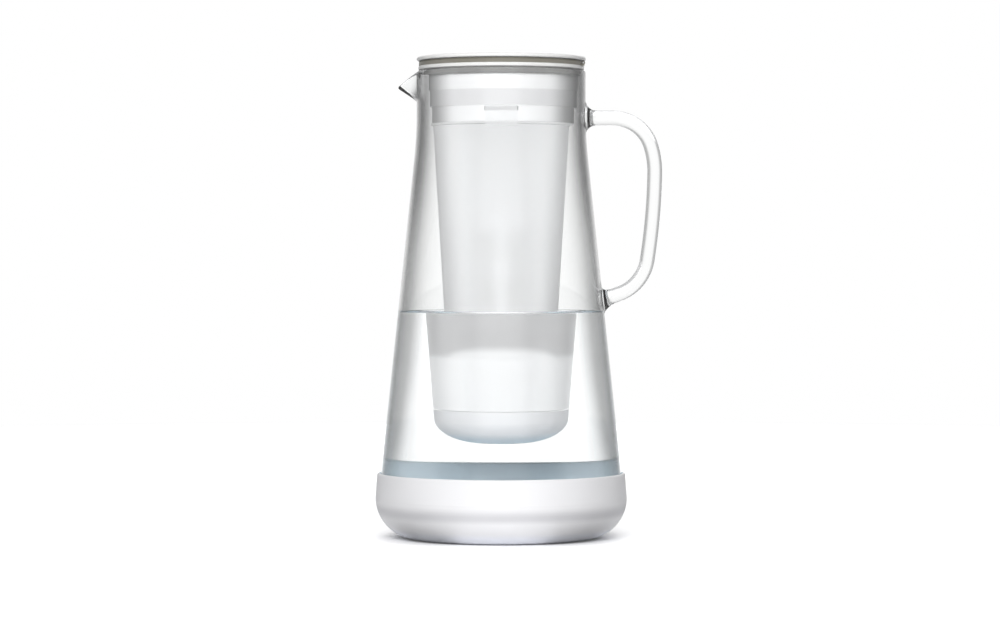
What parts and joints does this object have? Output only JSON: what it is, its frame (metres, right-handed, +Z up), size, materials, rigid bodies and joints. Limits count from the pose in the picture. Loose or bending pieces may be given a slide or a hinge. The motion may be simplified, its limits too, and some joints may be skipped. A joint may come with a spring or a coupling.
{
  "type": "water filter pitcher with flip lid",
  "caption": "Glass water jug with a pouring lip, a fused glass rod handle, a silicone boot, a lift-out frosted filter hopper and a hinged flat lid.",
  "frame": {"origin": "centre of the flat face that the silicone boot stands on, on the jug's own axis", "axes": "+Z up along the jug's axis, +X towards the handle, -X towards the pouring lip, -Y towards the picture's camera"},
  "size_m": [0.1548, 0.1358, 0.2593],
  "materials": {
    "glass": "clear polished borosilicate glass",
    "white_silicone": "satin white silicone rubber",
    "clear_plastic": "translucent clear plastic",
    "frosted_plastic": "frosted translucent plastic",
    "grey_silicone": "matt grey silicone rubber",
    "white_plastic": "satin white moulded plastic",
    "steel": "drawn stainless steel",
    "filter_plastic": "white moulded plastic",
    "potting_resin": "cast resin",
    "membrane": "porous white fibre",
    "screen_mesh": "fine woven mesh",
    "carbon": "black carbon grains",
    "felt": "white felt",
    "resin_beads": "amber resin beads"
  },
  "bodies": {
    "jug": {"glass_body": "glass", "glass_handle": "glass", "silicone_boot": "white_silicone"},
    "hopper": {"hopper_collar": "clear_plastic", "hopper_shell": "frosted_plastic", "rim_gasket": "grey_silicone"},
    "lid_ring": {"lid_ring": "white_plastic", "lid_gasket": "grey_silicone", "hinge_pin": "steel"},
    "flip_lid": {"flip_lid": "white_plastic"},
    "membrane_cartridge": {"membrane_base": "filter_plastic", "membrane_o_ring": "grey_silicone", "membrane_potting": "potting_resin", "membrane_fibres": "membrane", "membrane_cage": "filter_plastic", "membrane_cap": "filter_plastic"},
    "filter_pod": {"pod_shell": "filter_plastic", "pod_lid": "filter_plastic", "pod_seal": "grey_silicone", "inlet_screen": "screen_mesh", "carbon_bed": "carbon", "bed_felt": "felt", "resin_bed": "resin_beads", "outlet_screen": "screen_mesh"},
    "bottom_cap": {"bottom_cap": "filter_plastic"}
  },
  "joints": [
    {"name": "hopper_lift", "type": "slide", "parent": "jug", "child": "hopper", "axis": [0, 0, 1], "range_m": [0, 0.21]},
    {"name": "lid_ring_lift", "type": "slide", "parent": "hopper", "child": "lid_ring", "axis": [0, 0, 1], "range_m": [0, 0.04]},
    {"name": "flip_lid_hinge", "type": "hinge", "parent": "lid_ring", "child": "flip_lid", "pos_m": [0.0441, 0, 0.2561], "axis": [0, 1, 0], "range_deg": [0, 100]},
    {"name": "membrane_pull", "type": "slide", "parent": "hopper", "child": "membrane_cartridge", "axis": [0, 0, 1], "range_m": [0, 0.06]},
    {"name": "pod_pull", "type": "slide", "parent": "hopper", "child": "filter_pod", "axis": [0, 0, -1], "range_m": [0, 0.035]},
    {"name": "cap_turn", "type": "hinge", "parent": "filter_pod", "child": "bottom_cap", "pos_m": [0, 0, 0.06], "axis": [0, 0, 1], "range_deg": [0, 60]}
  ]
}
